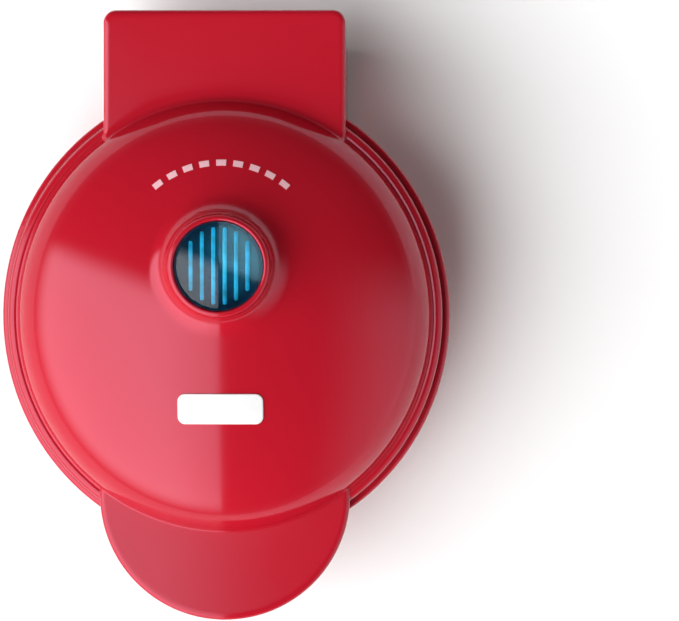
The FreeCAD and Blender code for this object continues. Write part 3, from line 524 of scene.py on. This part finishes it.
def build_window():
    """Clear cover with a low crown."""
    material, tree, shader = new_material("blue_lens")
    shader.inputs["Base Color"].default_value = (0.45, 0.84, 0.95, 1)
    shader.inputs["Specular IOR Level"].default_value = 0.35
    shader.inputs["Transmission Weight"].default_value = 1.0
    shader.inputs["IOR"].default_value = 1.4
    tree.links.new(ramp(tree, noise(tree, 90.0), 0.02, 0.05), shader.inputs["Roughness"])
    low, high, crown = SEAT_Z + 1.9, SEAT_Z + 2.45, 1.0
    ball = (LENS_R ** 2 + crown ** 2) / (2 * crown)
    profile = [(MIDDLE_R, low), (LENS_R - 0.3, low), (LENS_R, low + 0.1), (LENS_R, high - 0.2)]
    for r in np.linspace(LENS_R - 0.12, MIDDLE_R, 24):
        profile.append((r, high + crown - ball + math.sqrt(ball ** 2 - r ** 2)))
    window = lathe("lens_window", profile, material, closed=True)
    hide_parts("indicator_lens", "indicator_lamp")


def build_reflector():
    """Dark blue dish behind the bars."""
    material = glow_material("lens_back", (0.0, 0.14, 0.25), 0.45, (0.0, 0.012, 0.035))
    profile = [(MIDDLE_R, SEAT_Z + 0.2), (LENS_R * 0.7, SEAT_Z + 0.25), (LENS_R - 1.3, SEAT_Z + 0.5),
               (LENS_R - 0.2, SEAT_Z + 1.2), (LENS_R, SEAT_Z + 1.8)]
    dish = lathe("lens_reflector", profile, material)
    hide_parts("indicator_lens")


def build_ribs():
    """Lit bars under the window, rounded on top and lower at their ends."""
    material = glow_material("lens_bars", (0.09, 0.58, 0.76), 0.95, (0.0, 0.3, 0.5))
    bars, pitch, half, rise, base_z = 6, 2.9, 0.5, 1.0, SEAT_Z + 0.3
    section = [(-half, 0.0), (-half, rise * 0.6), (-half * 0.5, rise * 0.95), (0.0, rise),
               (half * 0.5, rise * 0.95), (half, rise * 0.6), (half, 0.0)]
    count = len(section)
    verts, faces = [], []
    for i in range(bars):
        x = (i - (bars - 1) / 2) * pitch
        reach = math.sqrt((LENS_R - 1.6) ** 2 - (abs(x) + half) ** 2)
        stations = [(-reach, 0.25), (-reach + 0.25, 0.75), (-reach + 0.7, 1.0),
                    (reach - 0.7, 1.0), (reach - 0.25, 0.75), (reach, 0.25)]
        first = len(verts)
        for y, size in stations:
            verts += [(x + sx * (0.6 + 0.4 * size), LIGHT_Y + y, base_z + sz * size) for sx, sz in section]
        last = len(verts)
        faces += ring_faces(len(stations), count, first)
        faces += [tuple(range(first, first + count)), tuple(range(last - 1, last - count - 1, -1))]
    ribs = mesh_piece("lens_ribs", verts, faces, "lid", material)
    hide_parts("indicator_lens")


# ---------------------------------------------------------------- badge
def subdivided(points, step):
    """Closed outline with points added, so that no side of it is longer than `step`."""
    filled = []
    for start, end in zip(points, np.roll(points, -1, axis=0)):
        count = max(1, math.ceil(np.linalg.norm(end - start) / step))
        filled += [start + (end - start) * i / count for i in range(count)]
    return np.array(filled)


def build_badge():
    """Plain white plate that follows the dome."""
    half = (badge_high[:2] - badge_low[:2]) / 2
    mid_y = (badge_high[1] + badge_low[1]) / 2
    corner, rise, flat = 2.0, 0.4, 0.5
    material, tree, shader = new_material("badge_white")
    white = ramp(tree, noise(tree, 200.0), (0.74, 0.74, 0.75), (0.8, 0.8, 0.8))
    tree.links.new(white, shader.inputs["Base Color"])
    tree.links.new(ramp(tree, noise(tree, 400.0), 0.16, 0.22), shader.inputs["Roughness"])
    outline = []
    for sx, sy, start in ((1, 1, 0), (-1, 1, 90), (-1, -1, 180), (1, -1, 270)):
        for a in np.radians(np.linspace(start, start + 90, 13)):
            outline.append((sx * (half[0] - corner) + corner * math.cos(a),
                            sy * (half[1] - corner) + corner * math.sin(a)))
    outline = subdivided(np.array(outline), 1.0)
    edge = ((0.0, -0.3), (0.0, rise * 0.6), (0.06, rise * 0.88), (0.18, rise), (flat, rise))
    sizes = [(1 - inset / half, lift) for inset, lift in edge]
    sizes += [((1 - flat / half) * share, rise) for share in (0.9, 0.75, 0.5, 0.25, 0.02)]
    rings = []
    for size, lift in sizes:
        x, y = outline[:, 0] * size[0], mid_y + outline[:, 1] * size[1]
        rings.append(np.stack([x, y, lid_height(x, y) + lift], axis=1))
    count = len(outline)
    faces = ring_faces(len(rings), count)
    faces.append(tuple(range((len(rings) - 1) * count, len(rings) * count)))
    badge = mesh_piece("badge_plate", np.concatenate(rings), faces, "lid", material)
    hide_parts("lid_badge")


# ---------------------------------------------------------------- studio
FRAME_WIDTH = 182.2          # what the picture's width covers at the rim's height
CAMERA_AT = Vector((58.6, 23.7, 1100.0))
CAMERA_AIM = Vector((30.4, 1.2, 32.0))


def build_camera():
    """Long lens from nearly overhead, with the hinge box at the top of the picture."""
    data = bpy.data.cameras.new("camera")
    data.sensor_width = 36.0
    away = CAMERA_AT - CAMERA_AIM
    data.lens = data.sensor_width * away.length / FRAME_WIDTH
    data.clip_start = 0.01
    camera = bpy.data.objects.new("camera", data)
    back = away.normalized()
    right = Vector((0, 1, 0)).cross(back).normalized()
    up = back.cross(right)
    camera.matrix_world = Matrix((right, up, back)).transposed().to_4x4()
    camera.location = CAMERA_AT * MM
    bpy.context.scene.collection.objects.link(camera)
    bpy.context.scene.camera = camera


def arithmetic(tree, operation, *values):
    """Sum, product or the like of sockets and numbers."""
    node = tree.nodes.new("ShaderNodeMath")
    node.operation = operation
    for place, value in zip(node.inputs, values):
        if isinstance(value, (int, float)):
            place.default_value = value
        else:
            tree.links.new(value, place)
    return node.outputs[0]


def fade(tree, source, start, end, low=0.0, high=1.0):
    """Smooth change from `low` to `high` as the source goes from `start` to `end`."""
    node = tree.nodes.new("ShaderNodeMapRange")
    node.interpolation_type = "SMOOTHSTEP"
    for name, value in (("From Min", start), ("From Max", end), ("To Min", low), ("To Max", high)):
        node.inputs[name].default_value = value
    tree.links.new(source, node.inputs["Value"])
    return node.outputs[0]


KEY_LIGHT = 4.4              # large softbox to the front left, with a straight right-hand edge
KEY_FROM = (-0.342, -0.94)
KEY_EDGE = -0.060
KEY_SOFT = 0.003             # half the width of that edge
SIDE_LIGHT = 1.2             # low light on the right
HORIZON_LIGHT = 0.2
AMBIENT = 0.04


def build_world():
    """Soft light from all round, given by direction: x to the right, y to the rear, z up."""
    world = bpy.data.worlds.new("studio")
    world.use_nodes = True
    tree = world.node_tree

    def add(a, b):
        return arithmetic(tree, "ADD", a, b)

    def times(a, b):
        return arithmetic(tree, "MULTIPLY", a, b)

    place = tree.nodes.new("ShaderNodeTexCoord")
    split = tree.nodes.new("ShaderNodeSeparateXYZ")
    tree.links.new(place.outputs["Generated"], split.inputs[0])
    x, y, z = (split.outputs[name] for name in "XYZ")
    front_left = add(times(x, KEY_FROM[0]), times(y, KEY_FROM[1]))
    edge = fade(tree, x, KEY_EDGE + KEY_SOFT, KEY_EDGE - KEY_SOFT)
    falloff = fade(tree, x, KEY_EDGE, -0.35, 0.7, 1.0)
    key = times(times(edge, falloff), times(fade(tree, front_left, -0.03, 0.09), fade(tree, z, -0.05, 0.35)))
    low_right = times(fade(tree, x, 0.35, 0.95), fade(tree, y, 0.35, -0.1))
    light = add(times(key, KEY_LIGHT), times(low_right, SIDE_LIGHT))
    light = add(light, times(fade(tree, z, 0.25, 0.0), HORIZON_LIGHT))
    back = tree.nodes["Background"]
    back.inputs["Color"].default_value = (1, 1, 1, 1)
    tree.links.new(add(light, AMBIENT), back.inputs["Strength"])
    bpy.context.scene.world = world


def build_floor():
    """Wide pale floor, part of the stage and not of the object."""
    material, tree, shader = new_material("floor")
    pale = ramp(tree, noise(tree, 3.0), (0.92, 0.92, 0.92), (0.94, 0.94, 0.94))
    tree.links.new(pale, shader.inputs["Base Color"])
    shader.inputs["Roughness"].default_value = 0.9
    mesh = bpy.data.meshes.new("floor")
    far = 3.0
    mesh.from_pydata([(-far, -far, 0), (far, -far, 0), (far, far, 0), (-far, far, 0)], [], [(0, 1, 2, 3)])
    mesh.materials.append(material)
    floor = bpy.data.objects.new("floor", mesh)
    bpy.context.scene.collection.objects.link(floor)


build_camera()
build_world()
build_floor()
bpy.context.scene.view_settings.view_transform = "Standard"
dress_nodes()
build_lid()
build_knuckle()
build_window()
build_reflector()
build_ribs()
build_badge()
